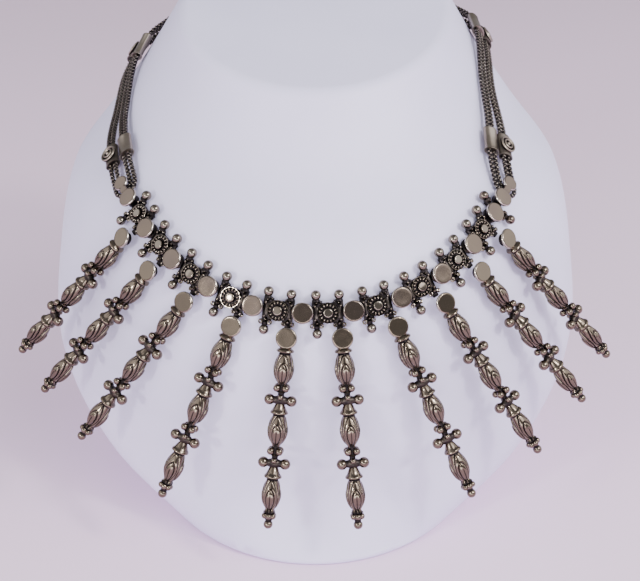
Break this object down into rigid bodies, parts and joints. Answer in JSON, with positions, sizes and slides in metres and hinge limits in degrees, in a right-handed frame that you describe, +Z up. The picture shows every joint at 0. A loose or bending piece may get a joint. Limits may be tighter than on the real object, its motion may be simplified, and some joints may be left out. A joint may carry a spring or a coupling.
{
  "type": "bib necklace on neck bust",
  "caption": "Oxidised silver bib necklace of flower and disc links with long carved drops and woven chains, lying on a plain white neck bust.",
  "frame": {"origin": "middle of the whole object's footprint, on the flat base of the neck bust", "axes": "+Z up, the front of the bust towards -Y, the wearer's left side towards +X"},
  "size_m": [0.2357, 0.1959, 0.1934],
  "materials": {
    "bust_white": "smooth satin, slightly warm in the shade",
    "silver": "worn satin silver, dark in the recesses",
    "dark_silver": "oxidised woven silver chain, bright on the ridges"
  },
  "bodies": {
    "root": {"neck_bust": "bust_white", "flower_link_01": "silver", "flower_link_02": "silver", "flower_link_03": "silver", "flower_link_04": "silver", "flower_link_05": "silver", "flower_link_06": "silver", "flower_link_07": "silver", "flower_link_08": "silver", "flower_link_09": "silver", "flower_link_10": "silver", "disc_link_01": "silver", "disc_link_02": "silver", "disc_link_03": "silver", "disc_link_04": "silver", "disc_link_05": "silver", "disc_link_06": "silver", "disc_link_07": "silver", "disc_link_08": "silver", "disc_link_09": "silver", "disc_link_10": "silver", "drop_01": "silver", "drop_02": "silver", "drop_03": "silver", "drop_04": "silver", "drop_05": "silver", "drop_06": "silver", "drop_07": "silver", "drop_08": "silver", "drop_09": "silver", "drop_10": "silver", "end_link_left": "silver", "end_link_right": "silver", "chain_left_inner": "dark_silver", "chain_left_outer": "dark_silver", "chain_right_inner": "dark_silver", "chain_right_outer": "dark_silver", "lower_plain_sleeve_left": "silver", "lower_plain_sleeve_right": "silver", "lower_rosette_sleeve_left": "silver", "lower_rosette_sleeve_right": "silver", "upper_plain_sleeve_left": "silver", "upper_plain_sleeve_right": "silver", "upper_rosette_sleeve_left": "silver", "upper_rosette_sleeve_right": "silver", "clasp": "silver"}
  },
  "joints": []
}
